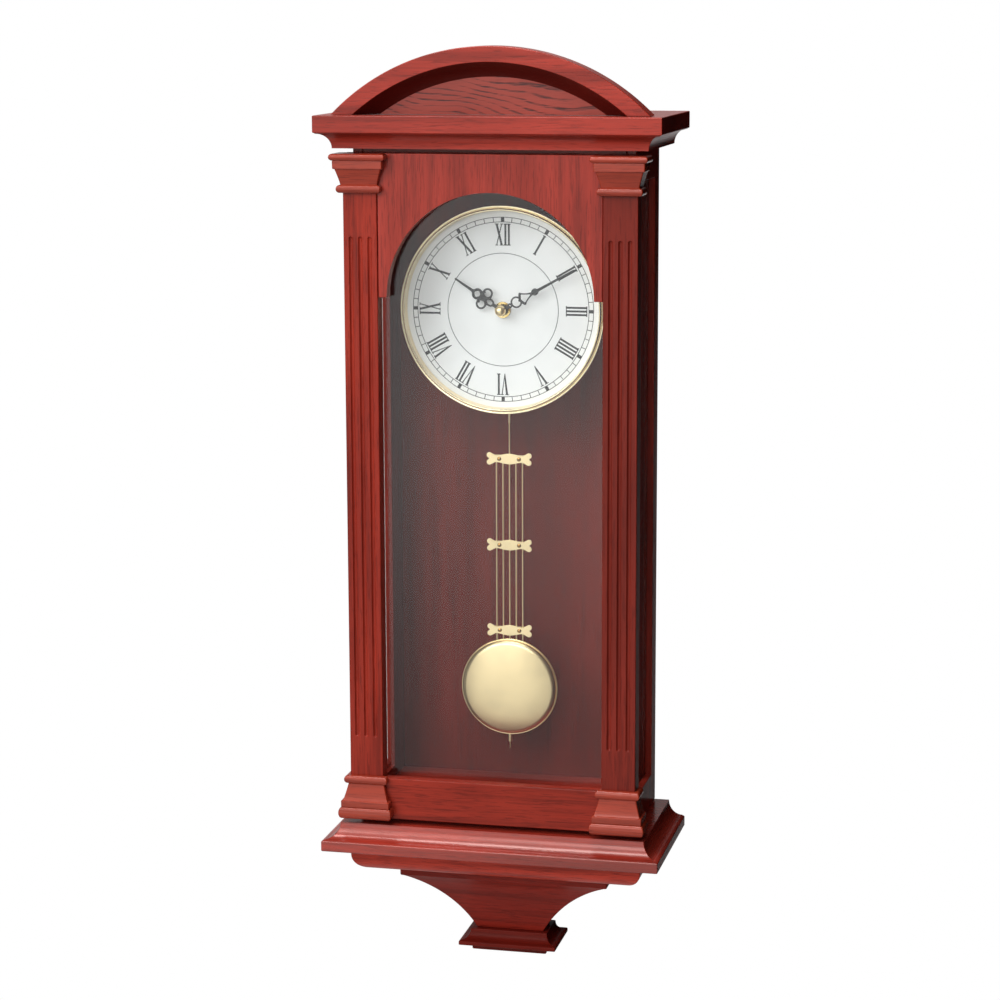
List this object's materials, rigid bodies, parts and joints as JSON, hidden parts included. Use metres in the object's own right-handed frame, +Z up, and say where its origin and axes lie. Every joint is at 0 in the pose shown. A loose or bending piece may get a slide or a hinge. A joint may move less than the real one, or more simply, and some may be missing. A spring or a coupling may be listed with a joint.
{
  "type": "pendulum wall clock",
  "caption": "Wall clock: red wood case with glazed sides, an arched glass door between fluted pilasters, a pediment, a round dial and a hanging pendulum.",
  "frame": {"origin": "the point on the wall plane where the wall screw shank bears at the top of the keyhole slot", "axes": "+Z up, along the clock height; +X to the right of someone facing the dial; +Y into the wall, so the dial faces -Y"},
  "size_m": [0.281, 0.1352, 0.759],
  "materials": {
    "mahogany": "satin red mahogany lacquer over a fine dark grain",
    "carved_mahogany": "satin mahogany lacquer, a little more orange, on the capitals and bases",
    "back_wood": "matt stained panel",
    "glass": "clear flat pane",
    "brass": "polished",
    "bezel_brass": "pale gold, polished",
    "pale_brass": "pale satin gold",
    "steel": "zinc plated",
    "dial_white": "matt white with printed numerals",
    "hand_black": "satin black",
    "black_plastic": "moulded",
    "white_nylon": "moulded",
    "battery_jacket": "plain jacket with metal ends, no print",
    "copper": "enamelled winding wire",
    "board_green": "solder mask",
    "magnet": "sintered ferrite"
  },
  "bodies": {
    "case": {"back_panel": "back_wood", "case_top_board": "mahogany", "case_floor_board": "mahogany", "side_frame_left": "mahogany", "side_frame_right": "mahogany", "side_glass_left": "glass", "side_glass_right": "glass", "glass_bead_left": "back_wood", "glass_bead_right": "back_wood", "hanger_plate": "steel", "crown_cornice": "mahogany", "base_ledge": "mahogany", "ovolo_moulding": "mahogany", "corbel_bracket": "mahogany", "foot_block": "mahogany", "pediment_arch": "mahogany", "tympanum_panel": "mahogany", "hinge_upper_case_leaf": "brass", "hinge_lower_case_leaf": "brass", "catch_magnet": "magnet", "dial_plate": "dial_white", "dial_bezel": "bezel_brass", "dial_bracket": "steel", "movement_housing": "black_plastic", "movement_cover": "black_plastic", "dial_nut": "brass", "battery": "battery_jacket", "circuit_board": "board_green", "motor_coil": "copper", "pendulum_drive_coil": "copper", "pendulum_pivot": "steel"},
    "door": {"door_stile_left": "mahogany", "door_stile_right": "mahogany", "capital_left": "carved_mahogany", "capital_right": "carved_mahogany", "pilaster_base_left": "carved_mahogany", "pilaster_base_right": "carved_mahogany", "door_arch_panel": "mahogany", "door_bottom_rail": "mahogany", "door_glass": "glass", "door_glass_bead": "mahogany", "hinge_upper_door_leaf": "brass", "hinge_lower_door_leaf": "brass", "catch_plate": "steel"},
    "minute_work": {"minute_arbor": "white_nylon", "minute_hand": "hand_black", "hand_nut": "brass"},
    "hour_work": {"hour_wheel": "white_nylon", "hour_hand": "hand_black"},
    "setting_work": {"minute_wheel": "white_nylon", "setting_knob": "black_plastic"},
    "pendulum": {"pendulum_lever": "steel", "pendulum_hanger_rod": "pale_brass", "gridiron_rods": "pale_brass", "bridge_plate_1": "pale_brass", "bridge_plate_2": "pale_brass", "bridge_plate_3": "pale_brass"},
    "bob": {"bob_front": "pale_brass", "bob_back": "pale_brass"},
    "rating_nut": {"rating_nut": "brass"}
  },
  "joints": [
    {"name": "door_hinge", "type": "hinge", "parent": "case", "child": "door", "pos_m": [-0.1208, -0.1022, -0.241], "axis": [0, 0, -1], "range_deg": [0, 110]},
    {"name": "minute_turn", "type": "hinge", "parent": "case", "child": "minute_work", "pos_m": [0, -0.0703, -0.105], "axis": [0, 1, 0], "continuous": true},
    {"name": "hour_turn", "type": "hinge", "parent": "case", "child": "hour_work", "pos_m": [0, -0.0703, -0.105], "axis": [0, 1, 0], "continuous": true},
    {"name": "setting_turn", "type": "hinge", "parent": "case", "child": "setting_work", "pos_m": [-0.012, -0.0703, -0.105], "axis": [0, 1, 0], "continuous": true},
    {"name": "pendulum_swing", "type": "hinge", "parent": "case", "child": "pendulum", "pos_m": [0, -0.048, -0.085], "axis": [0, 1, 0], "range_deg": [-5, 5]},
    {"name": "bob_rise", "type": "slide", "parent": "pendulum", "child": "bob", "axis": [0, 0, 1], "range_m": [-0.0015, 0.0015]},
    {"name": "rating_turn", "type": "hinge", "parent": "bob", "child": "rating_nut", "pos_m": [0, -0.048, -0.4643], "axis": [0, 0, 1], "range_deg": [-1090, 1090]}
  ],
  "couplings": [
    {"joint": "hour_turn", "follows": "minute_turn", "ratio": 0.083333},
    {"joint": "setting_turn", "follows": "minute_turn", "ratio": -0.33333},
    {"joint": "rating_turn", "follows": "bob_rise", "rad_per_m": 12566}
  ]
}
